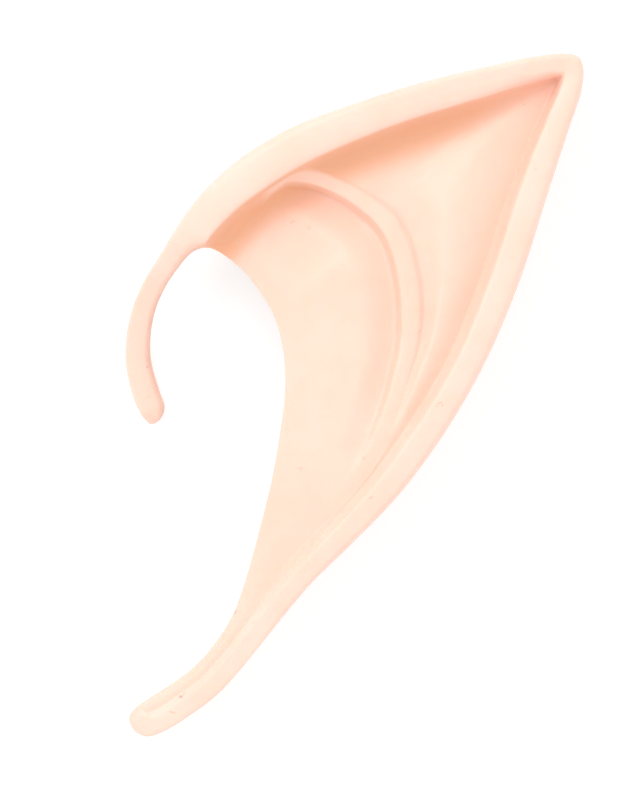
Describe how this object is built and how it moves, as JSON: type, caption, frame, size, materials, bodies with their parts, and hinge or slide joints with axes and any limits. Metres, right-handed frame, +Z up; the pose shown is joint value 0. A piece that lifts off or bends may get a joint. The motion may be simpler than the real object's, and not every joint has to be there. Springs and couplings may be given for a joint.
{
  "type": "elf ear tip",
  "caption": "Left slip-on elf ear in cast latex: a pointed ear with a sculpted front, a hollow pocket behind for the wearer's ear, a curved hook in front and a tapering tail below.",
  "frame": {"origin": "on the surface that the ear lies on, under the middle of its outline's bounding box", "axes": "+Z up out of the sculpted face, +Y from the end of the tail to the level of the point, +X from the hook to the point"},
  "size_m": [0.072, 0.1074, 0.02],
  "materials": {
    "latex": "satin cast latex, tinted pale peach"
  },
  "bodies": {
    "root": {"ear_shell": "latex"}
  },
  "joints": []
}
